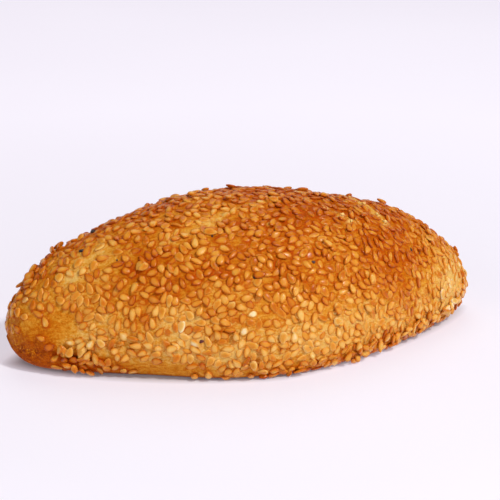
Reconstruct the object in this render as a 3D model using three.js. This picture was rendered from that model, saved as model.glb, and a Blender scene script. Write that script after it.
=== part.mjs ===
// A hand-shaped cheese bun: one baked body with a flat underside, coated in sesame seeds with a few
// nigella seeds among them. Millimetres. +X runs along the bun towards its slimmer end, -Y is its front
// and +Z is up. The origin is the middle of the bounding box's bottom face.
import * as THREE from "three";
import { mergeVertices } from "three/addons/utils/BufferGeometryUtils.js";

// The baked body, without its seeds
const LENGTH = 149;
const WIDTH = 76;
const HEIGHT = 45.6;
const CORE_HEIGHT = 10; // the widest line round the body, above the table
const BELLY_DEPTH = 26; // how far the dough would sag below that line if nothing held it up
const BASE_ROUNDING = 4; // how softly the side turns into the flat underside
const END_LIFT = { left: -0.6, right: -0.8 }; // how far that line climbs towards each tip: it sinks a little
const TAPER = { left: 0.55, right: 0.5 }; // how much each end is drawn in, seen from above
const TIP_BLUNTNESS = { left: 0.8, right: 0.6 }; // how much of that the very tip makes up again
const CROWN_TAPER = { left: 0.03, right: 0.05 }; // how much each end is drawn in, seen from the side
const WIDTH_SKEW = 0.05; // moves the fullest width towards +X
const HEIGHT_SKEW = -0.04; // moves the highest point towards -X

// Hollows and swellings that the hands left in the dough. Each has a place along X, an angle round the
// body from its top towards its front, a length along X, a width round the body, and a height.
const SWELLINGS = [
  { x: -62, angle: -25, length: 11, width: 16, height: 1.0 },
  { x: -38, angle: -25, length: 12, width: 18, height: -0.3 },
  { x: -6, angle: -25, length: 18, width: 22, height: 0.5 },
  { x: 24, angle: -25, length: 16, width: 18, height: -0.6 },
  { x: 50, angle: -30, length: 9, width: 16, height: 1.0 },
  { x: 68, angle: -30, length: 7, width: 14, height: -1.0 },
  { x: -36, angle: 118, length: 14, width: 12, height: -1.4 },
  { x: -64, angle: 110, length: 9, width: 12, height: 0.8 },
];
const SWELLING_RADIUS = 40; // turns an angle round the body into a distance

// Mesh density of the baked body: columns round it, rings along it
const BODY_COLUMNS = 80;
const BODY_RINGS = 40;

// Seeds lie flat on the crust, apart from it by a hair
const SEED_GAP = 0.3;
const SESAME = { length: 3.4, width: 2.1, thickness: 1.0, taper: 0.28, columns: 10, rings: 6 };
const NIGELLA = { length: 2.0, width: 1.2, thickness: 1.0, taper: 0.2, columns: 6, rings: 5 };
const SESAME_COUNT = 40;
const SESAME_REACH = 0.93; // share of the half length that the sesame seeds cover
const SESAME_ARC = 205; // degrees of the girth that they cover, centred on the top
const GOLDEN_RATIO = 0.618034;
const SESAME_TURN = 137.5; // degrees from one seed's direction to the next

// Nigella seeds: place along X, angle round the body, and direction, in degrees
const NIGELLA_PLACES = [
  { x: -52, angle: 13, turn: 5 },
  { x: -46.5, angle: -11, turn: 35 },
  { x: -43.5, angle: 34, turn: 80 },
  { x: -20, angle: -13, turn: 20 },
  { x: -16, angle: 31, turn: 120 },
  { x: -7, angle: 55, turn: 60 },
  { x: 12, angle: 50, turn: 150 },
  { x: 49, angle: 45, turn: 95 },
];

const CRUST = { color: 0xc9832f, roughness: 0.6, metalness: 0 };
const SESAME_SKIN = { color: 0xdca04a, roughness: 0.45, metalness: 0 };
const NIGELLA_SKIN = { color: 0x1d1b1c, roughness: 0.6, metalness: 0 };

function byEnd(values, along) {
  return along < 0 ? values.left : values.right;
}

// Height that the swellings add to the body at one place.
function swellingAt(x, angle) {
  let height = 0;
  for (const bump of SWELLINGS) {
    const turn = angle - THREE.MathUtils.degToRad(bump.angle);
    const shortestTurn = Math.atan2(Math.sin(turn), Math.cos(turn));
    const alongShare = (x - bump.x) / bump.length;
    const roundShare = (shortestTurn * SWELLING_RADIUS) / bump.width;
    height += bump.height * Math.exp(-(alongShare ** 2) - roundShare ** 2);
  }
  return height;
}

// The table flattens the belly: nothing goes below z = 0, and the edge of the contact is rounded.
function restOnTable(z) {
  if (z > BASE_ROUNDING) return z;
  if (z < -BASE_ROUNDING) return 0;
  return (z + BASE_ROUNDING) ** 2 / (4 * BASE_ROUNDING);
}

// A point of the crust: along runs from -1 to 1 down the length, angle turns from the top to the front.
function crustPoint(along, angle) {
  const x = (LENGTH / 2) * along;
  const roundness = Math.sqrt(Math.max(0, 1 - along * along));
  const lean = along * (1 - along * along);
  const taper = byEnd(TAPER, along) * along * along * (1 - byEnd(TIP_BLUNTNESS, along) * along ** 6);
  const widthShare = roundness * (1 - taper);
  const crownShare = roundness * (1 - byEnd(CROWN_TAPER, along) * along * along);
  const halfWidth = (WIDTH / 2) * widthShare * (1 + WIDTH_SKEW * lean);
  const rise = (HEIGHT - CORE_HEIGHT) * crownShare * (1 + HEIGHT_SKEW * lean);
  const drop = BELLY_DEPTH * crownShare;
  const core = CORE_HEIGHT + byEnd(END_LIFT, along) * along ** 4;
  const swelling = swellingAt(x, angle);
  const upward = Math.cos(angle);
  const y = -Math.sin(angle) * (halfWidth + swelling);
  const z = core + upward * ((upward > 0 ? rise : drop) + swelling);
  return new THREE.Vector3(x, y, restOnTable(z));
}

// A closed mesh that follows pointAt(along, angle): a sphere whose poles lie on the X axis, reshaped.
function reshapedSphere(columns, rings, pointAt) {
  const sphere = new THREE.SphereGeometry(1, columns, rings);
  sphere.deleteAttribute("normal");
  sphere.deleteAttribute("uv");
  sphere.rotateZ(-Math.PI / 2);
  const geometry = mergeVertices(sphere);
  const places = geometry.attributes.position;
  const place = new THREE.Vector3();
  for (let i = 0; i < places.count; i += 1) {
    place.fromBufferAttribute(places, i);
    const along = THREE.MathUtils.clamp(place.x, -1, 1);
    const point = pointAt(along, Math.atan2(-place.y, place.z));
    places.setXYZ(i, point.x, point.y, point.z);
  }
  geometry.computeVertexNormals();
  return geometry;
}

// A flat teardrop, wide end towards +X, lying on the XY plane.
function seedGeometry(seed) {
  return reshapedSphere(seed.columns, seed.rings, (along, angle) => {
    const roundness = Math.sqrt(Math.max(0, 1 - along * along));
    const halfWidth = (seed.width / 2) * roundness * (1 + seed.taper * along);
    return new THREE.Vector3(
      (seed.length / 2) * along,
      -Math.sin(angle) * halfWidth,
      Math.cos(angle) * (seed.thickness / 2) * roundness,
    );
  });
}

// Directions on the crust: out of it, along the bun, and round the bun.
function crustAxes(along, angle) {
  const step = 1e-3;
  const lengthwise = crustPoint(along + step, angle).sub(crustPoint(along - step, angle)).normalize();
  const round = crustPoint(along, angle - step).sub(crustPoint(along, angle + step)).normalize();
  const outward = new THREE.Vector3().crossVectors(lengthwise, round).normalize();
  return { lengthwise, round: new THREE.Vector3().crossVectors(outward, lengthwise), outward };
}

// Lays one seed flat on the crust, turned about the crust's outward direction.
function laySeed(mesh, seed, along, angle, turnDegrees) {
  const { lengthwise, round, outward } = crustAxes(along, angle);
  const lift = seed.thickness / 2 + SEED_GAP;
  mesh.position.copy(crustPoint(along, angle)).addScaledVector(outward, lift);
  mesh.setRotationFromMatrix(new THREE.Matrix4().makeBasis(lengthwise, round, outward));
  mesh.rotateZ(THREE.MathUtils.degToRad(turnDegrees));
}

function namedMesh(name, geometry, skin) {
  const mesh = new THREE.Mesh(geometry, new THREE.MeshStandardMaterial(skin));
  mesh.name = name;
  return mesh;
}

function numbered(name, index) {
  return `${name}_${String(index + 1).padStart(2, "0")}`;
}

// The body, baked in one piece
function makeBody() {
  return namedMesh("bun", reshapedSphere(BODY_COLUMNS, BODY_RINGS, crustPoint), CRUST);
}

// Sesame seeds, spread evenly over the coated part of the crust by golden-ratio steps
function makeSesameSeeds() {
  const geometry = seedGeometry(SESAME);
  const seeds = new THREE.Group();
  for (let i = 0; i < SESAME_COUNT; i += 1) {
    const along = SESAME_REACH * ((2 * (i + 0.5)) / SESAME_COUNT - 1);
    const roundShare = ((i * GOLDEN_RATIO) % 1) - 0.5;
    const angle = THREE.MathUtils.degToRad(SESAME_ARC * roundShare);
    const seed = namedMesh(numbered("sesame_seed", i), geometry, SESAME_SKIN);
    laySeed(seed, SESAME, along, angle, SESAME_TURN * i);
    seeds.add(seed);
  }
  return seeds;
}

// Nigella seeds, each where it fell
function makeNigellaSeeds() {
  const geometry = seedGeometry(NIGELLA);
  const seeds = new THREE.Group();
  NIGELLA_PLACES.forEach((place, i) => {
    const seed = namedMesh(numbered("nigella_seed", i), geometry, NIGELLA_SKIN);
    const angle = THREE.MathUtils.degToRad(place.angle);
    laySeed(seed, NIGELLA, place.x / (LENGTH / 2), angle, place.turn);
    seeds.add(seed);
  });
  return seeds;
}

const contents = new THREE.Group();
contents.add(makeBody(), makeSesameSeeds(), makeNigellaSeeds());
contents.updateMatrixWorld(true);

const bounds = new THREE.Box3().setFromObject(contents, true);
const middle = bounds.getCenter(new THREE.Vector3());
contents.position.set(-middle.x, -middle.y, -bounds.min.z);

const cheeseBun = new THREE.Group();
cheeseBun.name = "cheese_bun";
cheeseBun.add(contents);

export default cheeseBun;
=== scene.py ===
"""A hand-shaped cheese bun: a toasted crust under a coat of sesame seeds, with a few nigella seeds.

Lengths are millimetres, apart from the studio's, and turn into metres where a mesh is made. A place on
the crust is given as along, from -1 at the left tip to 1 at the right tip, or as x, and as angle, from
the top of the bun (0) towards its front (positive) or its back (negative).
"""
import itertools
import math

import bpy
import mathutils.kdtree
import numpy as np
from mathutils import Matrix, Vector


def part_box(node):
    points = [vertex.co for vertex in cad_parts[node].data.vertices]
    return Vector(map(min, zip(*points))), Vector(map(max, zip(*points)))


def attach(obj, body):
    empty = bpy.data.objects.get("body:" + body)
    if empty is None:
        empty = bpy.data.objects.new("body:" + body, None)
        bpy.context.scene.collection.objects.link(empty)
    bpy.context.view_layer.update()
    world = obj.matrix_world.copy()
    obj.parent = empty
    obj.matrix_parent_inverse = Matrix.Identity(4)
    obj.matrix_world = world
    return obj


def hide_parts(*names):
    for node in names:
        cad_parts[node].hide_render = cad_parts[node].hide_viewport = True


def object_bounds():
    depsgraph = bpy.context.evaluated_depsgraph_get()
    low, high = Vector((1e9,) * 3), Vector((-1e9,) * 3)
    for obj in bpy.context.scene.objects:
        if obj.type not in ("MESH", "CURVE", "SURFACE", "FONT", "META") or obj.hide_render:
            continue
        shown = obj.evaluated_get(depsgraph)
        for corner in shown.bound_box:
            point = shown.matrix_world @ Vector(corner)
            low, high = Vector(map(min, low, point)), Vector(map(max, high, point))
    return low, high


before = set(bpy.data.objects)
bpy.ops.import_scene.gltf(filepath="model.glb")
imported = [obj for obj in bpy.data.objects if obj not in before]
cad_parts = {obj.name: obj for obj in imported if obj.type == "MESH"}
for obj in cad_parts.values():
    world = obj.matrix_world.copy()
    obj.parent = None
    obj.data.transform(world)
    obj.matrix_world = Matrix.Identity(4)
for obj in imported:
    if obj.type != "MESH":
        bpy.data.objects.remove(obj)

MM = 0.001
CAD_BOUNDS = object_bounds()
CAD_LOW, CAD_HIGH = (np.array(corner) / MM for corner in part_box("bun"))


# -------- the baked body's shape

LENGTH = CAD_HIGH[0] - CAD_LOW[0]
WIDTH = CAD_HIGH[1] - CAD_LOW[1]
HEIGHT = 45.6
CORE_HEIGHT = 10.0  # the widest line round the body, above the table
BELLY_DEPTH = 26.0
BASE_ROUNDING = 4.0
END_LIFT = (-0.6, -0.8)  # left tip, right tip
TAPER = (0.55, 0.5)
TIP_BLUNTNESS = (0.8, 0.6)
CROWN_TAPER = (0.03, 0.05)
WIDTH_SKEW = 0.05
HEIGHT_SKEW = -0.04

# Swellings and hollows: x, angle in degrees, length along x, width round the body, height
SWELLINGS = (
    (-62, -25, 11, 16, 1.0),
    (-38, -25, 12, 18, -0.3),
    (-6, -25, 18, 22, 0.5),
    (24, -25, 16, 18, -0.6),
    (50, -30, 9, 16, 1.0),
    (68, -30, 7, 14, -1.0),
    (-36, 118, 14, 12, -1.4),
    (-64, 110, 9, 12, 0.8),
)
GIRTH_RADIUS = 40.0  # turns an angle round the body into a distance


def by_end(pair, along):
    return np.where(along < 0, pair[0], pair[1])


def round_patch(x, angle, centre_x, centre_degrees, length, width):
    """A soft round patch on the crust: 1 in its middle, falling away to 0."""
    turn = angle - math.radians(centre_degrees)
    turn = np.arctan2(np.sin(turn), np.cos(turn))
    return np.exp(-(((x - centre_x) / length) ** 2) - (turn * GIRTH_RADIUS / width) ** 2)


def stroke(x, angle, start_x, start_degrees, end_x, end_degrees, width):
    """A soft line on the crust between two places: 1 along its middle, falling away to 0."""
    across = angle * GIRTH_RADIUS
    start = np.array((start_x, math.radians(start_degrees) * GIRTH_RADIUS))
    run = np.array((end_x, math.radians(end_degrees) * GIRTH_RADIUS)) - start
    gap_x, gap_across = x - start[0], across - start[1]
    share = np.clip((gap_x * run[0] + gap_across * run[1]) / (run @ run), 0, 1)
    gap = np.hypot(gap_x - share * run[0], gap_across - share * run[1])
    return np.exp(-((gap / width) ** 2))


def rest_on_table(z):
    rounded = (z + BASE_ROUNDING) ** 2 / (4 * BASE_ROUNDING)
    return np.where(z > BASE_ROUNDING, z, np.where(z < -BASE_ROUNDING, 0.0, rounded))


def body_points(along, angle):
    """The smooth body, as the CAD solid has it, before it is moved to the CAD's place."""
    x = LENGTH / 2 * along
    roundness = np.sqrt(np.maximum(0.0, 1 - along**2))
    lean = along * (1 - along**2)
    taper = by_end(TAPER, along) * along**2 * (1 - by_end(TIP_BLUNTNESS, along) * along**6)
    crown = roundness * (1 - by_end(CROWN_TAPER, along) * along**2)
    half_width = WIDTH / 2 * roundness * (1 - taper) * (1 + WIDTH_SKEW * lean)
    rise = (HEIGHT - CORE_HEIGHT) * crown * (1 + HEIGHT_SKEW * lean)
    drop = BELLY_DEPTH * crown
    core = CORE_HEIGHT + by_end(END_LIFT, along) * along**4
    swelling = sum(height * round_patch(x, angle, *place) for *place, height in SWELLINGS)
    upward = np.cos(angle)
    y = -np.sin(angle) * (half_width + swelling)
    z = core + upward * (np.where(upward > 0, rise, drop) + swelling)
    return np.stack(np.broadcast_arrays(x, y, rest_on_table(z)), -1)


def unit(vectors):
    return vectors / np.maximum(np.linalg.norm(vectors, axis=-1, keepdims=True), 1e-9)


def body_axes(along, angle):
    """Directions on the body: lengthwise, round it, and out of it."""
    step = 2e-3
    inner = np.clip(along, -1 + 2 * step, 1 - 2 * step)
    lengthwise = unit(body_points(inner + step, angle) - body_points(inner - step, angle))
    round_it = unit(body_points(inner, angle - step) - body_points(inner, angle + step))
    outward = unit(np.cross(lengthwise, round_it))
    return lengthwise, np.cross(outward, lengthwise), outward


# -------- random fields


class SmoothField:
    """A smooth random field in space, from -1 to 1, the same on every run."""

    CELLS = 32

    def __init__(self, seed):
        self.values = np.random.default_rng(seed).uniform(-1, 1, (self.CELLS,) * 3)

    def at(self, points, size):
        places = points / size
        low = np.floor(places).astype(int)
        share = places - low
        share = share * share * (3 - 2 * share)
        total = 0.0
        for corner in itertools.product((0, 1), repeat=3):
            weight = np.prod(np.where(corner, share, 1 - share), axis=-1)
            cell = np.moveaxis((low + corner) % self.CELLS, -1, 0)
            total = total + weight * self.values[tuple(cell)]
        return total


def smooth_step(low, high, value):
    share = np.clip((value - low) / (high - low), 0, 1)
    return share * share * (3 - 2 * share)


# -------- marks on the crust

# Places that the crust and the coat of seeds share: x, angle in degrees, length, width
TIP_UNDERSIDE = (-71, 112, 9, 24)
TIP_FAR_SIDE = (-71, 165, 9, 42)
PITTED_PATCH = (-70.5, 104, 4.0, 6.5)
BARE_CHEEK = (-64, 72, 6.3, 8.5)
SMOOTH_BAND = (-34, 114, 15, 9)
BRIGHT_TIP = (70, 72, 12, 30)
TIP_BULGE = (-65, 128, 8, 8)
PALE_PATCHES = ((-49, 24, 7, 7), (-57, 34, 5, 5), (28, -60, 9, 6))
TOASTED_PATCHES = (  # and how much browner each is
    (18, 20, 16, 6, 0.26),
    (0, -17, 8, 8, 0.22),
    (-38, 42, 5, 4, 0.36),
    (-17, 50, 7, 4, 0.30),
    (45, 5, 16, 14, 0.06),
    (-30, -10, 10, 7, 0.15),
    (12, -70, 24, 16, 0.10),
    (-40, -75, 16, 12, 0.10),
    (14, 88, 16, 9, -0.18),
    (46, 52, 14, 20, 0.22),
    (-64, 72, 8, 10, 0.24),
    (36, 78, 20, 12, 0.20),
    (-22, 66, 18, 10, 0.05),
    (-30, 8, 14, 8, -0.13),
    (-35, 98, 16, 9, -0.08),
    (-42, 14, 20, 18, -0.07),
    (15, 52, 12, 14, 0.07),
    (-8, 87, 14, 10, -0.05),
)

# Lines: x and angle of the start, x and angle of the end, width
FOLD = (-62, 99, -48, 112, 2.2)
# painted shade in and round the fold's crease
FOLD_SHADE = (-62, 99, -50, 110, 5.0)
TEARS = ((34, -13, 41.5, 27, 1.5), (22.5, 16, 29.5, 27, 1.4))
PALE_STREAKS = ((-27, 30, -8, 17, 2.6), (-8, 17, 4, 9, 1.8))

# Relief of the crust: height, and how broad its blotches are
UNDULATIONS = ((0.55, 13.0), (0.22, 6.0))
WRINKLES = (0.13, 2.6)
WRINKLE_STRETCH = (0.6, 1.0, 1.0)
SKIN_GRAIN = (0.05, 1.1)
PITS = (0.5, 1.3)
TORN_EDGE = (0.5, 1.5)
TIP_BULGE_HEIGHT = 1.9
FOLD_DEPTH = 1.1

# How brown the crust is: its mean, and how much each thing adds or takes away. The fold's share is painted
# shade, the bottom edge's partly painted shade, and the right tip's paleness partly painted light
TOAST_MEAN = 0.44
TOAST_CLOUDS = ((0.14, 15.0), (0.12, 5.0))  # and how broad they are
TOAST_OF_TOP = 0.14
PALENESS_OF_SIDES = 0.24
PALENESS_OF_TEARS = 0.25
PALENESS_OF_PATCHES = 0.29
SHADE_OF_FOLD = 0.25
RIGHT_TIP_PALENESS_AND_LIGHT = 0.15
TOAST_OF_LEFT_END = 0.12
TOAST_OF_TIP_UNDERSIDE = 0.45
EDGE_BROWNING_AND_SHADE = 0.4

# Where these begin and end: heights, and for the left end x
TOP_RISE = (22, 44)
SIDES_TOP = (30, 14)
SIDES_FOOT = (3, 10)
LEFT_END = (-40, -66)
EDGE_RISE = (2.0, 0.0)
OFF_TABLE = (0.2, 5.0)
UNDERSIDE_EDGE = (0.6, 0.0)

undulation_field = SmoothField(11)
wrinkle_field = SmoothField(12)
skin_field = SmoothField(13)
toast_field = SmoothField(14)
gap_field = SmoothField(15)


def off_table(points):
    """0 on the flat underside, 1 from a few millimetres up."""
    return smooth_step(*OFF_TABLE, points[..., 2])


def relief(along, angle, points):
    """Height of the crust over the smooth body: undulations, wrinkles, the fold and the tears."""
    x = LENGTH / 2 * along
    waves = sum(height * undulation_field.at(points, size) for height, size in UNDULATIONS)
    wrinkles = WRINKLES[0] * wrinkle_field.at(points * WRINKLE_STRETCH, WRINKLES[1])
    skin = SKIN_GRAIN[0] * skin_field.at(points, SKIN_GRAIN[1])
    hollows = np.maximum(0, skin_field.at(points, PITS[1]))
    pits = -PITS[0] * round_patch(x, angle, *PITTED_PATCH) * hollows
    tip = TIP_BULGE_HEIGHT * round_patch(x, angle, *TIP_BULGE)
    fold = -FOLD_DEPTH * stroke(x, angle, *FOLD)
    ragged = TORN_EDGE[0] * wrinkle_field.at(points, TORN_EDGE[1]) + TORN_EDGE[0]
    torn = torn_crust(x, angle) * ragged
    return (waves + wrinkles + skin + pits + tip + fold + torn) * off_table(points)


def torn_crust(x, angle):
    """1 along the tears in the crust, 0 elsewhere."""
    return np.max([stroke(x, angle, *tear) for tear in TEARS], axis=0)


def paleness(x, angle):
    """1 on the pale, thinly coated patches and streaks of the crust, 0 elsewhere."""
    patches = [round_patch(x, angle, *place) for place in PALE_PATCHES]
    streaks = [stroke(x, angle, *place) for place in PALE_STREAKS]
    return np.max(patches + streaks, axis=0)


def toast_and_shade_at(along, angle, points):
    """How brown the crust is, from 0 to 1, with painted shade in the fold and along the bottom edge and
    painted light on the right tip.
    """
    x, z = LENGTH / 2 * along, points[..., 2]
    toast_and_shade = TOAST_MEAN
    for amount, size in TOAST_CLOUDS:
        toast_and_shade += amount * toast_field.at(points, size)
    toast_and_shade += TOAST_OF_TOP * smooth_step(*TOP_RISE, z)
    toast_and_shade -= PALENESS_OF_SIDES * smooth_step(*SIDES_TOP, z) * smooth_step(*SIDES_FOOT, z)
    for *place, amount in TOASTED_PATCHES:
        toast_and_shade += amount * round_patch(x, angle, *place)
    toast_and_shade -= PALENESS_OF_TEARS * torn_crust(x, angle)
    toast_and_shade -= PALENESS_OF_PATCHES * paleness(x, angle)
    # Painted shade in the fold's crease
    toast_and_shade += SHADE_OF_FOLD * stroke(x, angle, *FOLD_SHADE)
    # Paler right tip: partly its paler crust, partly painted light where it is brightly lit
    toast_and_shade -= RIGHT_TIP_PALENESS_AND_LIGHT * round_patch(x, angle, *BRIGHT_TIP)
    toast_and_shade += TOAST_OF_LEFT_END * smooth_step(*LEFT_END, x)
    toast_and_shade += TOAST_OF_TIP_UNDERSIDE * round_patch(x, angle, *TIP_UNDERSIDE)
    # Darker along the bottom edge: a browner baked bottom, with painted contact shade
    toast_and_shade += EDGE_BROWNING_AND_SHADE * smooth_step(*EDGE_RISE, z)
    return np.clip(toast_and_shade, 0, 1)


# -------- meshes

# Where the CAD model has the body that the formula makes about its own origin
FORMULA_GRID = np.meshgrid(np.linspace(-1, 1, 401), np.linspace(-math.pi, math.pi, 361), indexing="ij")
FORMULA_POINTS = body_points(*FORMULA_GRID).reshape(-1, 3)
TO_CAD = (CAD_LOW + CAD_HIGH) / 2 - (FORMULA_POINTS.min(0) + FORMULA_POINTS.max(0)) / 2
TO_CAD[2] = CAD_LOW[2]


def new_object(name, data):
    piece = bpy.data.objects.new(name, data)
    bpy.context.scene.collection.objects.link(piece)
    return piece


def mesh_object(name, points, faces):
    """A smooth-shaded mesh in the CAD frame, from points in millimetres, riding on the bun's one body."""
    mesh = bpy.data.meshes.new(name)
    mesh.from_pydata(((points + TO_CAD) * MM).tolist(), [], faces)
    mesh.polygons.foreach_set("use_smooth", np.ones(len(mesh.polygons), bool))
    mesh.update()
    piece = new_object(name, mesh)
    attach(piece, "root")
    return piece


def set_attribute(piece, name, values):
    attribute = piece.data.attributes.new(name, "FLOAT", "POINT")
    attribute.data.foreach_set("value", np.asarray(values, np.float32).ravel())


def set_uv(piece, uv_of_corner):
    """The UV map that the finish is baked into: one place for every face corner."""
    layer = piece.data.uv_layers.new(name="OFBake")
    layer.data.foreach_set("uv", np.asarray(uv_of_corner, np.float32).ravel())


def tube_faces(rings, columns):
    """Faces of a closed skin of a first point, rings and a last point, and each corner's ring and column."""
    faces, places = [], []
    end = 1 + (rings - 1) * columns
    for column in range(columns):
        after = (column + 1) % columns
        faces.append((0, 1 + column, 1 + after))
        places += [(0, column + 0.5), (1, column), (1, column + 1)]
        for ring in range(1, rings):
            here, below = 1 + (ring - 1) * columns, 1 + ring * columns
            faces.append((here + column, below + column, below + after, here + after))
            places += [(ring, column), (ring + 1, column), (ring + 1, column + 1), (ring, column + 1)]
        faces.append((1 + rings * columns, end + after, end + column))
        places += [(rings + 1, column + 0.5), (rings, column + 1), (rings, column)]
    return faces, np.array(places, float)


# -------- seeds

SESAME = (3.45, 2.08, 1.08)  # length, width, thickness
NIGELLA = (2.0, 1.25, 1.0)
CRUMB = (1.5, 1.1, 0.9)
RESTING_HEIGHT = 0.20  # of a seed's middle over the crust it is baked on
GLAZED_DEPTH = 0.08  # how much deeper seeds lie in the thick glaze of the right half
HIGHEST_RISE = 0.8  # of a seed's top over its middle
HIGHEST_LAID = 1.15  # middle of a seed that lies on others, over the crust
SEED_COLUMNS = 16

# How seeds differ from each other
SIZE_SPREAD = (0.11, 0.09, 0.14)  # of length, width and thickness
SIZE_LIMITS = (0.76, 1.22)
LIFT_SPREAD = 0.10
DISH_SPREAD, DEEPEST_DISH = 0.10, 0.2  # the hollow in a seed's upper face
NARROWING, NARROWING_SPREAD = 0.27, 0.06  # how much narrower one end is
POINT, POINT_SPREAD = 0.34, 0.20  # how much the narrow end is drawn to a point
POINT_LIMITS = (0.02, 0.9)
RIMMED_SHARE = 0.25  # seeds with a pale rim round a browner middle
RIM_TONE, RIMMED_MIDDLE_TONE = -0.11, 0.12
EDGE_SHADE_TONE, MIDDLE_HIGHLIGHT_TONE = 0.20, -0.11  # of the other seeds: painted shade at the edge and a painted highlight in the middle
EDGE_BAND, MIDDLE_BAND = (0.7, 0.95), (0.8, 0.3)  # where on the outline they come in

# Rings of a seed's skin: share of its outline, and height as a share of half its thickness
SEED_RINGS = (
    (0.32, 0.96),
    (0.57, 0.86),
    (0.78, 0.67),
    (0.93, 0.38),
    (1.0, 0.0),
    (0.90, -0.50),
    (0.50, -0.88),
)
SEED_POLES = (1.0, -1.0)
SEED_HEART = -0.10  # the poles' place along a seed, as a share of half its length
DISH_REACH = 0.8
CLEAR_OF_TABLE = 0.05

# How a seed comes to rest on others
FELT_REACH = 4.2  # how near the others are
FELT_AT = 0.8  # share of its half length and half width at which it feels what lies under it
PRESSED = 0.85  # share of its half thickness by which it lies over the others
TIPPING = 0.8
ROLL_THROW = 1.4

TILE_FILL = 0.46  # how much of its tile of the UV map a seed fills, from the tile's middle


class Seeds:
    """Seeds on the crust, one entry of each array for each seed."""

    def __init__(self, along, angle, turn, size, rng, tilt=0.15, ripple=0.018):
        count = len(along)
        self.along, self.angle, self.turn = (np.array(values, float) for values in (along, angle, turn))
        self.size = np.clip(rng.normal(1, SIZE_SPREAD, (count, 3)), *SIZE_LIMITS) * size
        self.lift = RESTING_HEIGHT - GLAZED_DEPTH * combing(self.along) + rng.normal(0, LIFT_SPREAD, count)
        self.roll, self.pitch = rng.normal(0, tilt, (2, count))
        self.dish = np.clip(rng.normal(0.0, DISH_SPREAD, count), 0, DEEPEST_DISH)
        self.taper = rng.normal(NARROWING, NARROWING_SPREAD, count)
        self.point = np.clip(rng.normal(POINT, POINT_SPREAD, count), *POINT_LIMITS)
        self.rimmed = rng.random(count) < RIMMED_SHARE
        self.ripple = rng.normal(0, ripple, (count, 3))
        self.ripple_phase = rng.uniform(0, 2 * math.pi, (count, 3))
        self.tone = np.zeros(count)
        self.settle()

    def settle(self):
        """Finds where each seed lies on the crust, and its flat directions there."""
        points = body_points(self.along, self.angle)
        lengthwise, round_it, self.outward = body_axes(self.along, self.angle)
        self.base = points + self.outward * relief(self.along, self.angle, points)[:, None]
        cos, sin = np.cos(self.turn)[:, None], np.sin(self.turn)[:, None]
        self.nose = lengthwise * cos + round_it * sin
        self.side = np.cross(self.outward, self.nose)

    def top_over(self, places, seeds):
        """Height over the crust of the tops of some seeds, at each place: 0 where none of them lies."""
        gap = places[:, None] - self.base[seeds][None]
        u = (gap * self.nose[seeds]).sum(-1) * 2 / self.size[seeds, 0]
        v = (gap * self.side[seeds]).sum(-1) * 2 / self.size[seeds, 1]
        reach = u * u + v * v
        slope = u * np.tan(self.pitch[seeds]) * self.size[seeds, 0] / 2
        slope += v * np.tan(self.roll[seeds]) * self.size[seeds, 1] / 2
        crown = self.size[seeds, 2] / 2 * np.sqrt(np.clip(1.1 - reach, 0, 1))
        top = np.where(reach < 1.05, self.lift[seeds] + np.minimum(slope + crown, HIGHEST_RISE), 0)
        return np.max(top, axis=1, initial=0)

    def drop(self, seed, below, rng, throw):
        """Lays a seed over the ones below it, tipped as what lies under its ends and sides tips it."""
        half = self.size[seed] / 2
        nose, side = self.nose[seed] * FELT_AT * half[0], self.side[seed] * FELT_AT * half[1]
        spots = self.base[seed] + np.array((0 * nose, nose, -nose, side, -side))
        near = below[np.linalg.norm(self.base[below] - self.base[seed], axis=1) < FELT_REACH]
        middle, front, back, left, right = self.top_over(spots, near)
        highest = max(middle, (front + back) / 2, (left + right) / 2)
        if highest > 0:
            self.lift[seed] = min(highest + PRESSED * half[2], HIGHEST_LAID)
        pitch = math.atan2(front - back, 2 * FELT_AT * half[0])
        roll = math.atan2(left - right, 2 * FELT_AT * half[1])
        self.pitch[seed] = pitch * TIPPING + rng.normal(0, throw)
        self.roll[seed] = roll * TIPPING + rng.normal(0, ROLL_THROW * throw)

    def skin(self):
        """Points of every seed: its first pole, rings and last pole."""
        phi = np.linspace(0, 2 * math.pi, SEED_COLUMNS, endpoint=False)
        cos, sin = np.cos(phi), np.sin(phi)
        length, width, thickness = (self.size[:, i, None] / 2 for i in range(3))
        pinch = np.where(cos > 0, cos**2, 0) * self.point[:, None]
        outline_x = length * cos
        outline_y = width * np.sign(sin) * np.abs(sin) ** (1 + pinch) * (1 - self.taper[:, None] * cos)
        wave = 1 + sum(
            self.ripple[:, i, None] * np.cos((i + 2) * phi + self.ripple_phase[:, i, None]) for i in range(3)
        )
        heart = SEED_HEART * length
        rings = [np.stack((heart, 0 * heart, thickness * (SEED_POLES[0] - self.dish[:, None])), -1)]
        for share, height in SEED_RINGS:
            dish = self.dish[:, None] * max(0.0, 1 - (share / DISH_REACH) ** 2) if height > 0 else 0.0
            x = heart + (outline_x * wave - heart) * share
            y = outline_y * wave * share
            rings.append(np.stack((x, y, thickness * (height - dish) + 0 * x), -1))
        rings.append(np.stack((heart, 0 * heart, thickness * SEED_POLES[1]), -1))
        local = np.concatenate(rings, 1)
        nose = self.nose * np.cos(self.pitch)[:, None] + self.outward * np.sin(self.pitch)[:, None]
        up = np.cross(nose, self.side)
        cos, sin = np.cos(self.roll)[:, None], np.sin(self.roll)[:, None]
        axes = nose, self.side * cos + up * sin, up * cos - self.side * sin
        middle = self.base + self.outward * self.lift[:, None]
        points = middle[:, None] + sum(local[..., i, None] * axis[:, None] for i, axis in enumerate(axes))
        points[..., 2] += np.maximum(CLEAR_OF_TABLE - points[..., 2].min(1), 0)[:, None]
        return points


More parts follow.
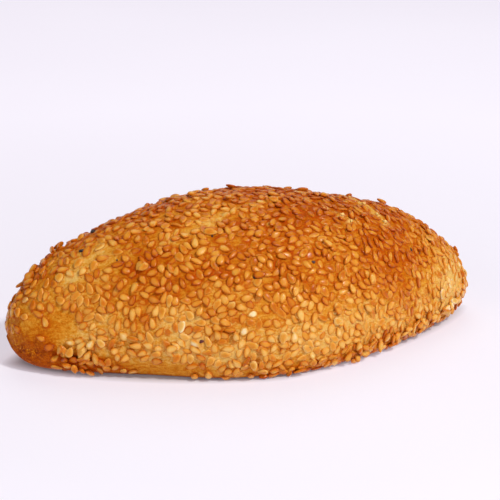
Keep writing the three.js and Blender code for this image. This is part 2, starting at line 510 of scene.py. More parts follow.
def seeds_piece(name, seeds, chosen):
    """One piece that holds the chosen seeds, each a closed body with its own tile of the UV map."""
    points = seeds.skin()[chosen]
    count, per_seed = points.shape[:2]
    faces, places = tube_faces(len(SEED_RINGS), SEED_COLUMNS)
    all_faces = [tuple(corner + i * per_seed for corner in face) for i in range(count) for face in faces]
    piece = mesh_object(name, points.reshape(-1, 3), all_faces)
    ring_share = [0.0] + [share for share, height in SEED_RINGS for _ in range(SEED_COLUMNS)] + [0.0]
    rimmed, ring_share = seeds.rimmed[chosen][:, None], np.array(ring_share)[None]
    # Painted shade at the edges and a painted highlight in the middle of most seeds; rimmed seeds get a pale
    # rim round a browner middle
    edge = np.where(rimmed, RIM_TONE, EDGE_SHADE_TONE) * smooth_step(*EDGE_BAND, ring_share)
    middle = np.where(rimmed, RIMMED_MIDDLE_TONE, MIDDLE_HIGHLIGHT_TONE) * smooth_step(*MIDDLE_BAND, ring_share)
    set_attribute(piece, "tone", seeds.tone[chosen][:, None] + edge + middle)
    tiles = math.ceil(math.sqrt(count))
    reach = TILE_FILL * places[:, 0] / (len(SEED_RINGS) + 1)
    turn = places[:, 1] * 2 * math.pi / SEED_COLUMNS
    in_tile = np.stack((reach * np.cos(turn), reach * np.sin(turn)), -1) + 0.5
    index = np.arange(count)
    tile = np.stack((index % tiles, index // tiles), -1)
    set_uv(piece, (tile[:, None] + in_tile[None]) / tiles)
    return piece


# -------- laying the coat of seeds

COAT_SEED = 2024
SCATTER_LINES = 301  # of the grid by which places are spread over the body
CANDIDATES = 24000
TURNS_TRIED = 12
CLOSEST = 1.46  # distance at which two seeds' rounded halves nearly touch
SPARSE_SPACING = 0.35  # how much further apart they lie where the coat is thin
HALF_REACH = 0.64  # from a seed's middle to the middle of each rounded half
CAD_SESAME_COUNT = 40
CAD_NIGELLA_COUNT = 8
CAD_REACH = 0.93
CAD_SPREAD = math.radians(205)
GOLDEN_SHARE = 0.618034
GOLDEN_TURN = math.radians(137.5)
STRAY_SHARE = 0.06  # of the coat: more seeds, lying loosely over the others
STRAY_THROW = 0.12
ON_EDGE_SHARE = 0.012
ON_EDGE_ROLL, ON_EDGE_ROLL_SPREAD, ON_EDGE_LIFT = 1.2, 0.15, 0.35
SUNKEN_SHARE = 0.14
SUNKEN_DEPTHS = (0.15, 0.35)
COMBED_TURN = math.radians(120)  # on the right half the seeds lie about this way
COMBED_RISE = (0.05, 0.5)  # along
COMBED_NARROWING = 0.52
COMBED_LEAN = 0.20  # and lean on one side
HEAP_RADIUS = 25.0
HEAP_SPACING = 1.5
HEAP_CORE = 0.6  # how closely a heap's seeds keep to its middle
HEAP_TRIES = 12
HEAP_LIMIT = 0.96
ROW_SHIFT, ROW_TURN = 0.3, 1.0  # how far seeds of a row lie off it: along x, and round the body in degrees

# How thick the coat is, 1 being full: its mean, gaps (with how broad they are), and what thins it
COAT_MEAN = 0.95
COAT_GAPS = ((0.30, 7.0), (0.15, 3.0))
THINNER_LEFT = 0.30
LEFT_HALF = (-10, -45)  # where that begins and ends
THINNER_PALE = 0.45
BARE_TEARS = 1.3
BARE_PLACES = 2.4
COAT_EDGE = 0.6  # no seed is laid below this height
THICK_COAT = 0.6  # from this, strays may lie on it

# Tone of the seeds, from cream (0) to dark (1)
PALEST_TONE, TONE_OF_TOAST, TONE_SPREAD = 0.19, 0.60, 0.06
DARKER_SHARE, DARKER = 0.15, 0.16
SUNKEN_DARKER = 0.10
LAID_PAINTED_LIGHT = 0.09  # painted light: seeds over the coat are made paler, as they catch more light; they also brown less than the crust under them
LAID_MOST_TOAST = 0.62
TONE_LIMITS = (0.10, 0.70)
CREAM_TONE = 0.08

# Heaps of seeds: x, angle, length, width, number of seeds, and how untidily they lie (radians)
HEAPS = (
    (-55.5, 99, 4.5, 5.0, 8, 0.12),
    (38, 103, 20, 3.0, 28, 0.25),
    (59, 100, 6, 4.0, 9, 0.25),
    (-57, -18, 1.8, 1.6, 3, 0.20),
    (-66, -12, 3.0, 4.0, 3, 0.20),
    (30, -104, 22, 3.0, 24, 0.30),
    (-40, -100, 14, 3.0, 12, 0.30),
)

# Rows of seeds along the lips of the fold and the edge below: x and angle where it starts, x and angle
# where it ends, number of seeds, and how untidily they lie (radians)
ROWS = (
    (-64, 90, -56, 95, 4, 0.10),
    (-58.5, 87, -50.5, 87, 4, 0.12),
    (-63, 105, -54, 106, 5, 0.15),
    (-60, 111, -51, 119, 5, 0.25),
    (-49, 108, -42, 113, 4, 0.15),
)

# Seeds on their own: x, angle, turn, height over the crust, roll and pitch (angles in degrees)
SINGLE_SEEDS = (
    (-66.4, 81, 155, 0.35, 4, 3),
    (-62.5, 118, 5, 0.1, 10, 0),
    (-25.2, 111, 82, 0.4, 0, 6),
    (-21.6, 108, 95, 0.35, 5, 4),
    (2.0, 112, 85, 0.9, 70, 25),
    (-68.7, -22, 150, 0.6, 10, 20),
    (-65, 66, 95, -0.12, 0, 0),
)
CREAM_SEEDS = ((-27.8, 75), (-13.6, 78), (-7.4, 71))

# Nigella seeds: x, angle, turn, height over the crust, tone (black 0, plum brown 1), size
NIGELLA_SEEDS = (
    (-52, 13, 5, 0.15, 0.0, 0.8),
    (-46.5, -11, 35, 0.35, 0.0, 0.95),
    (-43.5, 34, 80, -0.05, 0.2, 0.45),
    (-20, -13, 20, 0.0, 0.1, 0.5),
    (-16, 31, 120, 0.0, 0.2, 0.45),
    (-7, 55, 60, 0.05, 0.0, 0.7),
    (12, 50, 150, 0.05, 0.5, 0.65),
    (49, 45, 95, 0.0, 0.4, 0.6),
    (-23.8, 84, 10, 0.02, 1.0, 0.75),
    (13, 66, 10, 0.0, 0.5, 0.4),
    (-39.6, 51, 10, 0.0, 0.5, 0.4),
    (52.5, 47, 40, 0.0, 0.5, 0.5),
)

# Crumbs at the tears: x, angle, turn, height over the crust, tone, size
CRUMBS = (
    (41.2, 26, 0, 0.35, 0, 1.0),
    (39.6, 19, 60, 0.25, 0, 0.8),
    (37.5, 8, 20, 0.2, 0, 0.7),
    (35.2, -4, 100, 0.25, 0, 0.8),
    (27, 22, 40, 0.25, 0, 0.9),
    (29, 27, 15, 0.3, 0, 0.8),
)


def combing(along):
    """How much the seeds lie one way: 0 on the left half, 1 towards the right tip."""
    return smooth_step(*COMBED_RISE, along)


def coat_density(along, angle, points):
    """How much of the coat stays at a place: 0 where the crust is bare."""
    x = LENGTH / 2 * along
    keep = COAT_MEAN
    for amount, size in COAT_GAPS:
        keep += amount * gap_field.at(points, size)
    keep -= THINNER_LEFT * smooth_step(*LEFT_HALF, x)
    keep -= THINNER_PALE * paleness(x, angle)
    keep -= BARE_TEARS * torn_crust(x, angle)
    for place in (BARE_CHEEK, SMOOTH_BAND, TIP_UNDERSIDE, TIP_FAR_SIDE):
        keep -= BARE_PLACES * round_patch(x, angle, *place)
    return np.where(points[..., 2] < COAT_EDGE, 0.0, keep)


def scatter(rng, count):
    """Places spread evenly over the body's skin."""
    along_lines = -np.cos(np.linspace(0, math.pi, SCATTER_LINES))
    angle_lines = np.linspace(-math.pi, math.pi, SCATTER_LINES)
    grid = body_points(*np.meshgrid(along_lines, angle_lines, indexing="ij"))
    edges = np.cross(grid[1:, :-1] - grid[:-1, :-1], grid[:-1, 1:] - grid[:-1, :-1])
    area = np.linalg.norm(edges, axis=-1).ravel()
    cell = rng.choice(len(area), count, p=area / area.sum())
    row, column = np.divmod(cell, len(angle_lines) - 1)
    part = rng.random((2, count))
    along = along_lines[row] + part[0] * (along_lines[row + 1] - along_lines[row])
    angle = angle_lines[column] + part[1] * (angle_lines[1] - angle_lines[0])
    return along, angle


def cad_sesame_places():
    """Where the CAD model has its sesame seeds: along, angle and turn."""
    index = np.arange(CAD_SESAME_COUNT)
    along = CAD_REACH * (2 * (index + 0.5) / CAD_SESAME_COUNT - 1)
    return along, CAD_SPREAD * (index * GOLDEN_SHARE % 1 - 0.5), GOLDEN_TURN * index


def lay_coat(rng):
    """Drops seeds one by one and keeps each that finds room, turned the way that leaves most.

    The first ones are tried where the CAD model has seeds.
    """
    along, angle = scatter(rng, CANDIDATES)
    turns = rng.uniform(-math.pi / 2, math.pi / 2, (CANDIDATES, TURNS_TRIED))
    turns = COMBED_TURN + turns * (1 - COMBED_NARROWING * combing(along)[:, None])
    cad_along, cad_angle, cad_turn = cad_sesame_places()
    along[:CAD_SESAME_COUNT], angle[:CAD_SESAME_COUNT] = cad_along, cad_angle
    turns[:CAD_SESAME_COUNT] = cad_turn[:, None]
    points = body_points(along, angle)
    lengthwise, round_it, _ = body_axes(along, angle)
    density = coat_density(along, angle, points)
    spacing = CLOSEST * (1 + SPARSE_SPACING * (1 - np.clip(density, 0, 1)))
    keep = density > rng.random(CANDIDATES) * 0.9 + 0.05
    taken = np.array(NIGELLA_SEEDS)[:, :2]
    taken = body_points(taken[:, 0] * 2 / LENGTH, np.radians(taken[:, 1]))
    laid_middles = np.full((len(taken) + CANDIDATES, 3), 1e6)
    laid_middles[: len(taken)] = taken
    laid_halves = np.repeat(laid_middles[:, None], 2, axis=1)
    laid, laid_turn = [], []
    for i in np.flatnonzero(keep):
        count = len(taken) + len(laid)
        gap = np.abs(laid_middles[:count] - points[i]).max(1, initial=0)
        near = np.flatnonzero(gap < CLOSEST + 2 * HALF_REACH)
        nose = np.cos(turns[i])[:, None] * lengthwise[i] + np.sin(turns[i])[:, None] * round_it[i]
        halves = points[i] + HALF_REACH * np.stack((nose, -nose), 1)
        best = 0
        if len(near):
            gaps = np.linalg.norm(halves[:, :, None, None] - laid_halves[near], axis=-1)
            room = gaps.reshape(TURNS_TRIED, -1).min(1)
            best = int(room.argmax())
            if room[best] < spacing[i]:
                continue
        laid_middles[count] = points[i]
        laid_halves[count] = halves[best]
        laid.append(i)
        laid_turn.append(turns[i, best] + math.pi * rng.integers(2))
    return along[laid], angle[laid], np.array(laid_turn)


def heap_places(rng, x, angle, length, width, count):
    """Places of the seeds of one heap, thickest in its middle and none too close to another."""
    heap = []
    for _ in range(HEAP_TRIES * count):
        place_x = x + rng.normal(0, length * HEAP_CORE)
        place_angle = angle + rng.normal(0, width * HEAP_CORE / GIRTH_RADIUS)
        gaps = [math.hypot(other[0] - place_x, (other[1] - place_angle) * HEAP_RADIUS) for other in heap]
        if min(gaps, default=math.inf) > HEAP_SPACING and len(heap) < count:
            heap.append((place_x, place_angle))
    heap_x, heap_angle = np.array(heap).T
    return np.clip(heap_x * 2 / LENGTH, -HEAP_LIMIT, HEAP_LIMIT), heap_angle


def sesame_seeds():
    """All the sesame seeds: the coat, then strays, heaps and single seeds laid over it."""
    rng = np.random.default_rng(COAT_SEED)
    along, angle, turn = lay_coat(rng)
    coat = len(along)
    places, throws = [], []

    def add(along, angle, turn, throw):
        places.append(np.stack((along, angle, turn)))
        throws.append(np.full(len(along), throw))

    add(along, angle, turn, 0.0)
    stray_along, stray_angle = scatter(rng, 4 * int(coat * STRAY_SHARE))
    stray_points = body_points(stray_along, stray_angle)
    stays = coat_density(stray_along, stray_angle, stray_points) > THICK_COAT
    strays = np.stack((stray_along, stray_angle, rng.uniform(0, 2 * math.pi, len(stray_along))))
    add(*strays[:, stays][:, : int(coat * STRAY_SHARE)], STRAY_THROW)

    for x, degrees, length, width, count, throw in HEAPS:
        heap_along, heap_angle = heap_places(rng, x, math.radians(degrees), length, width, count)
        add(heap_along, heap_angle, rng.uniform(0, 2 * math.pi, len(heap_along)), throw)

    for first_x, first_degrees, last_x, last_degrees, count, throw in ROWS:
        row_x = np.linspace(first_x, last_x, count) + rng.normal(0, ROW_SHIFT, count)
        row_degrees = np.linspace(first_degrees, last_degrees, count) + rng.normal(0, ROW_TURN, count)
        add(row_x * 2 / LENGTH, np.radians(row_degrees), rng.uniform(0, 2 * math.pi, count), throw)

    single = np.array(SINGLE_SEEDS)
    places.append(np.stack((single[:, 0] * 2 / LENGTH, *np.radians(single[:, 1:3]).T)))
    throw = np.concatenate(throws)
    seeds = Seeds(*np.concatenate(places, 1), SESAME, rng)

    lean = COMBED_LEAN * combing(seeds.along[:coat])
    seeds.roll[:coat] += lean * np.sign(np.cos(seeds.turn[:coat] - COMBED_TURN))
    on_edge = np.flatnonzero(rng.random(coat) < ON_EDGE_SHARE)
    rolls = rng.normal(ON_EDGE_ROLL, ON_EDGE_ROLL_SPREAD, len(on_edge))
    seeds.roll[on_edge] = rolls * rng.choice((-1, 1), len(on_edge))
    seeds.lift[on_edge] += ON_EDGE_LIFT
    sunken = np.flatnonzero(rng.random(coat) < SUNKEN_SHARE)
    seeds.lift[sunken] -= rng.uniform(*SUNKEN_DEPTHS, len(sunken))
    for seed in range(coat, len(throw)):
        seeds.drop(seed, np.arange(seed), rng, throw[seed])
    seeds.lift[-len(single):] = single[:, 3]
    seeds.roll[-len(single):], seeds.pitch[-len(single):] = np.radians(single[:, 4:]).T

    toast_and_shade = toast_and_shade_at(seeds.along, seeds.angle, seeds.base)
    toast_and_shade[coat:] = np.minimum(toast_and_shade[coat:], LAID_MOST_TOAST)
    seeds.tone = PALEST_TONE + TONE_OF_TOAST * toast_and_shade + rng.normal(0, TONE_SPREAD, len(toast_and_shade))
    seeds.tone += DARKER * (rng.random(len(toast_and_shade)) < DARKER_SHARE)
    seeds.tone[sunken] += SUNKEN_DARKER
    # Painted light on the seeds that lie over the coat
    seeds.tone[coat:] -= LAID_PAINTED_LIGHT
    seeds.tone = np.clip(seeds.tone, *TONE_LIMITS)
    for x, degrees in CREAM_SEEDS:
        spot = body_points(np.array(x * 2 / LENGTH), np.array(math.radians(degrees)))
        seeds.tone[np.linalg.norm(seeds.base[:coat] - spot, axis=1).argmin()] = CREAM_TONE
    return seeds


def seeds_in_a_row(rows, kind, rng, **shape):
    """Seeds set one by one, from rows of x, angle, turn, height over the crust, tone and size."""
    x, angle, turn, lift, tone, size = np.array(rows, float).T
    seeds = Seeds(x * 2 / LENGTH, np.radians(angle), np.radians(turn), kind, rng, **shape)
    seeds.lift, seeds.tone = lift, tone
    seeds.size *= size[:, None]
    return seeds


# -------- the crust

CRUST_RINGS = 330
CRUST_COLUMNS = 298
MEASURED_POINTS = 2001  # of the lines by which rings and columns are spaced
UNDERSIDE_SHARE = 0.3  # how closely columns lie on the flat underside, against 1 elsewhere
SEEDS_NEARBY = 6
FAR_FROM_SEEDS = 9.0
SEED_COLLAR_HEIGHT = 0.18
SEED_COLLAR_REACH = 0.35
# How far the painted shade round each lying seed reaches on the crust, in millimetres
SEED_SHADE_REACH = 0.30
LYING_LIFT = 0.6  # seeds lower than this lie on the crust
GLAZE_GOLD = (0.05, 0.07)  # how much paler the crust is than its seeds: everywhere, and more at the right


def evenly_along(lengths, count):
    """Splits a line of segments of these lengths into count parts: the segment shares where parts meet."""
    travelled = np.concatenate(((0,), np.cumsum(lengths)))
    return np.interp(np.linspace(0, travelled[-1], count + 1), travelled, np.arange(len(travelled)))


def crust_lines():
    """The along of each ring and the angle of each column, so that the mesh is about evenly fine."""
    index = np.arange(MEASURED_POINTS)
    fine_along = -np.cos(np.linspace(0, math.pi, MEASURED_POINTS))
    profile = body_points(fine_along, np.full(MEASURED_POINTS, math.radians(40)))
    steps = np.linalg.norm(np.diff(profile, axis=0), axis=1)
    along = np.interp(evenly_along(steps, CRUST_RINGS + 1), index, fine_along)[1:-1]
    fine_angle = np.linspace(math.pi, -math.pi, MEASURED_POINTS)
    girth = body_points(np.zeros(MEASURED_POINTS), fine_angle)
    steps = np.linalg.norm(np.diff(girth, axis=0), axis=1)
    steps = steps * np.where(girth[1:, 2] > 0.02, 1, UNDERSIDE_SHARE)
    angle = np.interp(evenly_along(steps, CRUST_COLUMNS), index, fine_angle)[:-1]
    return along, angle


def distance_to_seeds(points, seeds):
    """How far each point of the crust is from the outline of the nearest seed that lies on the crust."""
    lying = np.flatnonzero(seeds.lift < LYING_LIFT)
    tree = mathutils.kdtree.KDTree(len(lying))
    for i, seed in enumerate(lying):
        tree.insert(seeds.base[seed], i)
    tree.balance()
    near = np.array([[found[1] for found in tree.find_n(point, SEEDS_NEARBY)] for point in points])
    near = lying[near]
    gap = points[:, None] - seeds.base[near]
    u = (gap * seeds.nose[near]).sum(-1) * 2 / seeds.size[near, 0]
    v = (gap * seeds.side[near]).sum(-1) * 2 / seeds.size[near, 1]
    reach = np.hypot(u, v)
    across = np.sqrt(seeds.size[near, 0] * seeds.size[near, 1]) / 2
    return np.minimum(((reach - 1) * across).min(1), FAR_FROM_SEEDS)


def crust_piece(seeds):
    along_lines, angle_lines = crust_lines()
    along, angle = np.meshgrid(along_lines, angle_lines, indexing="ij")
    along = np.concatenate(((-1,), along.ravel(), (1,)))
    angle = np.concatenate(((0,), angle.ravel(), (0,)))
    smooth_points = body_points(along, angle)
    outward = body_axes(along, angle)[2]
    outward[0], outward[-1] = (-1, 0, 0), (1, 0, 0)
    height = relief(along, angle, smooth_points)
    gap = distance_to_seeds(smooth_points + outward * height[:, None], seeds)
    collar = SEED_COLLAR_HEIGHT * np.exp(-((np.maximum(gap, 0) / SEED_COLLAR_REACH) ** 2))
    height = height + collar * off_table(smooth_points)
    points = smooth_points + outward * height[:, None]
    points[:, 2] = np.maximum(points[:, 2], 0)

    faces, places = tube_faces(CRUST_RINGS, CRUST_COLUMNS)
    piece = mesh_object("crust", points, faces)
    ring_share = np.concatenate(((0,), np.linspace(0.01, 0.99, CRUST_RINGS), (1,)))
    set_uv(piece, np.stack((places[:, 1] / CRUST_COLUMNS, ring_share[places[:, 0].astype(int)]), -1))
    x = LENGTH / 2 * along
    golden = GLAZE_GOLD[0] + GLAZE_GOLD[1] * combing(along)
    set_attribute(piece, "toast_and_shade", toast_and_shade_at(along, angle, smooth_points) - golden)
    # Painted shade where the crust meets each seed, with some browner glaze pooled there: 1 at a seed's
    # outline, fading off
    set_attribute(piece, "seed_shade", np.exp(-np.maximum(gap, 0) / SEED_SHADE_REACH))
    set_attribute(piece, "torn", torn_crust(x, angle))
    set_attribute(piece, "pitted", round_patch(x, angle, *PITTED_PATCH))
    set_attribute(piece, "underside", smooth_step(*UNDERSIDE_EDGE, smooth_points[:, 2]))
    return piece


# -------- finishes


def srgb(red, green, blue):
    """A colour given as on a screen, 0 to 255, as Blender's linear colour."""
    share = np.array((red, green, blue)) / 255
    linear = np.where(share <= 0.04045, share / 12.92, ((share + 0.055) / 1.055) ** 2.4)
    return (*linear.tolist(), 1.0)


class Finish:
    """A node material with a Principled shader, and short ways to build its inputs."""

    def __init__(self, name, **shader_settings):
        self.material = bpy.data.materials.new(name)
        self.material.use_nodes = True
        self.nodes = self.material.node_tree.nodes
        self.shader = self.nodes["Principled BSDF"]
        for socket, value in shader_settings.items():
            self.shader.inputs[socket.replace("_", " ")].default_value = value
        self.place = self.node("TexCoord").outputs["Object"]

    def node(self, kind):
        return self.nodes.new("ShaderNode" + kind)

    def put(self, socket, value):
        if isinstance(value, bpy.types.NodeSocket):
            self.material.node_tree.links.new(value, socket)
        else:
            socket.default_value = value

    def attribute(self, name):
        node = self.node("Attribute")
        node.attribute_name = name
        return node.outputs["Fac"]

    def noise(self, size, detail=3.0, roughness=0.55, distortion=0.0, stretch=None):
        """A cloudy pattern from 0 to 1, whose blotches are about size millimetres across."""
        place = self.place
        if stretch:
            mapping = self.node("Mapping")
            mapping.inputs["Scale"].default_value = stretch
            self.put(mapping.inputs["Vector"], place)
            place = mapping.outputs["Vector"]
        node = self.node("TexNoise")
        settings = (place, 1 / (size * MM), detail, roughness, distortion)
        for name, setting in zip(("Vector", "Scale", "Detail", "Roughness", "Distortion"), settings):
            self.put(node.inputs[name], setting)
        return node.outputs["Fac"]

    def math(self, operation, first, second=0.0, third=0.0):
        node = self.node("Math")
        node.operation = operation
        for socket, value in zip(node.inputs, (first, second, third)):
            self.put(socket, value)
        return node.outputs[0]

    def vary(self, value, pattern, amount):
        """The value, raised and lowered by a pattern from 0 to 1 about its middle."""
        return self.math("MULTIPLY_ADD", self.math("SUBTRACT", pattern, 0.5), amount, value)

    def scaled(self, value, low, high, to_low=0.0, to_high=1.0):
        node = self.node("MapRange")
        for socket, setting in zip(node.inputs, (value, low, high, to_low, to_high)):
            self.put(socket, setting)
        return node.outputs[0]

    def ramp(self, value, stops):
        node = self.node("ValToRGB")
        elements = node.color_ramp.elements
        while len(elements) < len(stops):
            elements.new(0.5)
        for element, (position, shade) in zip(elements, stops):
            element.position, element.color = position, shade
        self.put(node.inputs["Fac"], value)
        return node.outputs["Color"]

    def mix(self, share, first, second):
        node = self.node("Mix")
        node.data_type = "RGBA"
        for name, value in (("Factor_Float", share), ("A_Color", first), ("B_Color", second)):
            socket = next(socket for socket in node.inputs if socket.identifier == name)
            self.put(socket, value)
        return next(socket for socket in node.outputs if socket.identifier == "Result_Color")

    def bump(self, height, depth, strength, under=None):
        """Fine relief whose depth is given in millimetres."""
        node = self.node("Bump")
        node.inputs["Strength"].default_value = strength
        node.inputs["Distance"].default_value = depth * MM
        self.put(node.inputs["Height"], height)
        if under:
            self.put(node.inputs["Normal"], under)
        return node.outputs["Normal"]

    def finish(self, piece, colour, roughness, normal):
        for name, value in (("Base Color", colour), ("Roughness", roughness), ("Normal", normal)):
            self.put(self.shader.inputs[name], value)
        piece.data.materials.append(self.material)


GLOW_REACH = (1.0, 0.42, 0.15)  # how far red, green and blue light spread inside, in shares of the scale

CRUST_SHADES = (
    (0.00, srgb(238, 192, 104)),
    (0.25, srgb(225, 153, 46)),
    (0.50, srgb(203, 114, 8)),
    (0.74, srgb(178, 80, 2)),
    (1.00, srgb(138, 53, 1)),
)
SESAME_SHADES = (
    (0.00, srgb(244, 218, 168)),
    (0.12, srgb(233, 184, 98)),
    (0.34, srgb(223, 151, 50)),
    (0.58, srgb(204, 112, 12)),
    (0.80, srgb(178, 79, 2)),
    (1.00, srgb(140, 54, 0)),
)
# Colour of the painted shade on the crust round each seed
SEED_SHADOW = srgb(186, 72, 0)
TORN_CRUMB = srgb(248, 214, 130)
UNDERSIDE_BROWN = srgb(176, 104, 42)
NIGELLA_BLACK = srgb(20, 18, 20)
NIGELLA_GREY = srgb(56, 52, 56)
PLUM_BROWN = srgb(96, 40, 32)


def finish_crust(piece):
    crust = Finish(
        "baked_crust", IOR=1.45, Specular_IOR_Level=0.05,
        Subsurface_Weight=0.08, Subsurface_Scale=0.3 * MM, Subsurface_Radius=GLOW_REACH,
    )
    clouds = crust.noise(6.0, 6.0)
    mottle = crust.noise(1.4, 8.0, 0.72)
    grain = crust.noise(0.40, 4.0, 0.65)
    wrinkles = crust.noise(0.9, 4.0, 0.6, 0.6, stretch=(0.35, 1.0, 1.0))
    toast_and_shade = crust.vary(crust.attribute("toast_and_shade"), clouds, 0.34)
    toast_and_shade = crust.vary(toast_and_shade, mottle, 0.75)
    creases = crust.scaled(wrinkles, 0.40, 0.60, -0.5, 0.5)
    toast_and_shade = crust.math("MULTIPLY_ADD", creases, 0.20, toast_and_shade)
    toast_and_shade = crust.vary(toast_and_shade, grain, 0.55)
    pitted = crust.attribute("pitted")
    pits = crust.math("MULTIPLY", pitted, crust.scaled(crust.noise(1.0, 3.0), 0.54, 0.62))
    flecks = crust.math("MULTIPLY", pitted, crust.scaled(crust.noise(0.6, 4.0), 0.46, 0.64))
    toast_and_shade = crust.math("MULTIPLY_ADD", pits, 0.45, toast_and_shade)
    toast_and_shade = crust.math("MULTIPLY_ADD", flecks, -0.55, toast_and_shade)
    colour = crust.ramp(toast_and_shade, CRUST_SHADES)
    # Painted shade round the seeds, deeper where the crust is browner
    depth = crust.scaled(toast_and_shade, 0.10, 0.60, 0.25, 0.95)
    shadow = crust.math("MULTIPLY", crust.attribute("seed_shade"), depth)
    colour = crust.mix(shadow, colour, SEED_SHADOW)
    crumb = crust.math("MULTIPLY", crust.attribute("torn"), crust.scaled(mottle, 0.48, 0.62))
    colour = crust.mix(crumb, colour, TORN_CRUMB)
    browned = crust.scaled(clouds, 0.3, 0.7, 0.55, 0.9)
    base = crust.math("MULTIPLY", crust.attribute("underside"), browned)
    colour = crust.mix(base, colour, UNDERSIDE_BROWN)
    roughness = crust.scaled(mottle, 0.3, 0.7, 0.30, 0.50)
    normal = crust.bump(grain, 0.16, 0.9)
    normal = crust.bump(wrinkles, 0.26, 0.9, normal)
    normal = crust.bump(mottle, 0.45, 0.8, normal)
    normal = crust.bump(pits, -0.30, 0.8, normal)
    crust.finish(piece, colour, roughness, normal)


def finish_sesame(piece):
    sesame = Finish(
        "sesame_skin", IOR=1.46, Specular_IOR_Level=0.12,
        Coat_Weight=0.45, Coat_Roughness=0.22, Coat_IOR=1.3,
        Subsurface_Weight=0.20, Subsurface_Scale=0.4 * MM, Subsurface_Radius=GLOW_REACH,
    )
    blotches = sesame.noise(1.6, 3.0)
    grain = sesame.noise(0.35, 2.0)
    colour = sesame.ramp(sesame.vary(sesame.attribute("tone"), blotches, 0.32), SESAME_SHADES)
    roughness = sesame.scaled(blotches, 0.3, 0.7, 0.24, 0.36)
    sesame.finish(piece, colour, roughness, sesame.bump(grain, 0.09, 0.7))


def finish_nigella(piece):
    nigella = Finish("nigella_skin", IOR=1.45)
    grain = nigella.noise(0.3, 3.0)
    black = nigella.ramp(grain, ((0.35, NIGELLA_BLACK), (0.75, NIGELLA_GREY)))
    colour = nigella.mix(nigella.attribute("tone"), black, PLUM_BROWN)
    roughness = nigella.scaled(grain, 0.3, 0.7, 0.4, 0.6)
    nigella.finish(piece, colour, roughness, nigella.bump(grain, 0.12, 0.7))


def finish_crumbs(piece):
    crumbs = Finish(
        "torn_crumb", Subsurface_Weight=0.2, Subsurface_Scale=0.8 * MM, Subsurface_Radius=GLOW_REACH,
    )
    pores = crumbs.noise(0.5, 4.0, 0.7)
    colour = crumbs.ramp(pores, ((0.3, srgb(222, 170, 92)), (0.65, TORN_CRUMB)))
    roughness = crumbs.scaled(pores, 0.3, 0.7, 0.6, 0.8)
    crumbs.finish(piece, colour, roughness, crumbs.bump(pores, 0.25, 0.8))


# -------- the bun

sesame = sesame_seeds()
crust = crust_piece(sesame)
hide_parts("bun")
finish_crust(crust)

# The coat is three pieces, palest seeds first. Each replaces the CAD seeds whose nearest seed is its own.
SESAME_PIECES = ("sesame_pale", "sesame_golden", "sesame_toasted")
tone_order = sesame.tone.argsort().argsort()
tone_group = tone_order * len(SESAME_PIECES) // len(tone_order)
cad_points = body_points(*cad_sesame_places()[:2])
nearest_seed = np.linalg.norm(sesame.base[:, None] - cad_points, axis=-1).argmin(axis=0)
cad_group = tone_group[nearest_seed]
for group, name in enumerate(SESAME_PIECES):
    piece = seeds_piece(name, sesame, tone_group == group)
    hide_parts(*(f"sesame_seed_{i + 1:02d}" for i in np.flatnonzero(cad_group == group)))
    finish_sesame(piece)

nigella = seeds_in_a_row(NIGELLA_SEEDS, NIGELLA, np.random.default_rng(71), tilt=0.15, ripple=0.05)
piece = seeds_piece("nigella_seeds", nigella, np.ones(len(NIGELLA_SEEDS), bool))
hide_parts(*(f"nigella_seed_{i + 1:02d}" for i in range(CAD_NIGELLA_COUNT)))
finish_nigella(piece)

crumbs = seeds_in_a_row(CRUMBS, CRUMB, np.random.default_rng(72), tilt=0.4, ripple=0.10)
piece = seeds_piece("torn_crumbs", crumbs, np.ones(len(CRUMBS), bool))
finish_crumbs(piece)


# -------- the studio

# In metres, as the lamps and the camera below are
FLOOR_HALF = 4.0
FLOOR_GLOW = (0.52, 0.61)  # painted light, as the table glows and lights the bun from below: close to the bun, and further off, where the lamps light it less
FLOOR_GLOW_REACH = (0.10, 0.30)
BASE_HALF = (0.072, 0.035)  # half the length and half the width of the bun's base
BASE_POWER = 1.42  # its outline is pointed at the ends: 2 would be an ellipse
CLOSE_SHADE = (0.97, 1.11, 0.18, 1.0)  # painted contact shadow: the glow fades from the outer edge of this ring to its inner one
WALL_HEIGHTS = (0.15, 0.45)  # between which the walls' glow turns into the ceiling's
WALL_GLOW, CEILING_GLOW = 0.55, 0.12
PALE_LILAC = (0.93, 0.86, 0.98, 1)
PAPER_SHADES = ((0.3, (0.45, 0.445, 0.47, 1)), (0.7, (0.49, 0.485, 0.51, 1)))
DAYLIGHT = (0.96, 0.93, 0.97, 1)

mesh = bpy.data.meshes.new("floor")
floor_z = CAD_BOUNDS[0][2]
corners = [(x * FLOOR_HALF, y * FLOOR_HALF, floor_z) for x, y in ((-1, -1), (1, -1), (1, 1), (-1, 1))]
mesh.from_pydata(corners, [], [(0, 1, 2, 3)])
floor = new_object("floor", mesh)
table = Finish("table_top", Emission_Color=PALE_LILAC)
paper = table.ramp(table.noise(400.0, 2.0), PAPER_SHADES)
distance = table.node("VectorMath")
distance.operation = "LENGTH"
table.put(distance.inputs[0], table.place)
floor_glow = table.scaled(distance.outputs["Value"], *FLOOR_GLOW_REACH, *FLOOR_GLOW)
floor_place = table.node("SeparateXYZ")
table.put(floor_place.inputs[0], table.place)
reaches = []
for i, half in enumerate(BASE_HALF):
    share = table.math("ABSOLUTE", table.math("DIVIDE", floor_place.outputs[i], half))
    reaches.append(table.math("POWER", share, BASE_POWER))
# A painted contact shadow: the table's glow fades round the bun's base
unshadowed_share = table.scaled(table.math("ADD", *reaches), *CLOSE_SHADE)
table.put(table.shader.inputs["Emission Strength"], table.math("MULTIPLY", floor_glow, unshadowed_share))
table.finish(floor, paper, 0.9, table.bump(table.noise(3.0), 0.05, 0.1))

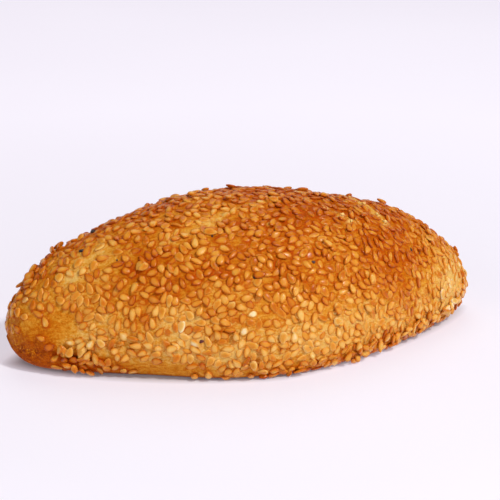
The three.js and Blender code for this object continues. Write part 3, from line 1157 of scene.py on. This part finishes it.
world = bpy.data.worlds.new("studio")
bpy.context.scene.world = world
world.use_nodes = True
nodes, links = world.node_tree.nodes, world.node_tree.links
direction = nodes.new("ShaderNodeSeparateXYZ")
studio_glow = nodes.new("ShaderNodeMapRange")
links.new(nodes.new("ShaderNodeTexCoord").outputs["Generated"], direction.inputs[0])
links.new(direction.outputs["Z"], studio_glow.inputs["Value"])
for socket, setting in zip(studio_glow.inputs[1:5], (*WALL_HEIGHTS, WALL_GLOW, CEILING_GLOW)):
    socket.default_value = setting
links.new(studio_glow.outputs[0], nodes["Background"].inputs["Strength"])
nodes["Background"].inputs["Color"].default_value = DAYLIGHT

# Three soft boxes and the small key lamp: name, place, width and height, power in watts
LAMPS = (
    ("soft_box_above", (0.15, 0.60, 1.00), (0.8, 0.8), 3.5),
    ("soft_box_front", (0.40, -1.15, 0.72), (0.35, 0.35), 1.8),
    ("soft_box_left", (-1.00, -0.55, 0.60), (0.6, 0.6), 2.0),
    ("key_lamp", (0.38, -0.70, 0.93), (0.11, 0.11), 9.9),
)
bun_middle = Vector((CAD_LOW + CAD_HIGH) / 2 * MM)
for name, place, (width, height), power in LAMPS:
    light = bpy.data.lights.new(name, "AREA")
    light.shape, light.size, light.size_y, light.energy = "RECTANGLE", width, height, power
    lamp = new_object(name, light)
    lamp.location = place
    lamp.rotation_euler = (bun_middle - lamp.location).to_track_quat("-Z", "Y").to_euler()

bpy.context.scene.view_settings.view_transform = "Standard"


# -------- the camera

VIEW_AZIMUTH = math.radians(-18)
VIEW_ELEVATION = math.radians(20)
VIEW_DISTANCE = 0.450
LENS = 104.3
LOOKED_AT = Vector((0, 0, 0.022))
FRAMING = (0.0015, 0.0056)  # how far the picture's middle lies right of and above the point looked at

back = Vector((
    math.sin(VIEW_AZIMUTH) * math.cos(VIEW_ELEVATION),
    -math.cos(VIEW_AZIMUTH) * math.cos(VIEW_ELEVATION),
    math.sin(VIEW_ELEVATION),
))
right = Vector((math.cos(VIEW_AZIMUTH), math.sin(VIEW_AZIMUTH), 0))
up = back.cross(right)
camera = new_object("camera", bpy.data.cameras.new("camera"))
camera.data.lens = LENS
camera.data.clip_start = 0.01
camera.location = LOOKED_AT + back * VIEW_DISTANCE
aim = LOOKED_AT + right * FRAMING[0] + up * FRAMING[1]
camera.rotation_euler = (aim - camera.location).to_track_quat("-Z", "Y").to_euler()
bpy.context.scene.camera = camera
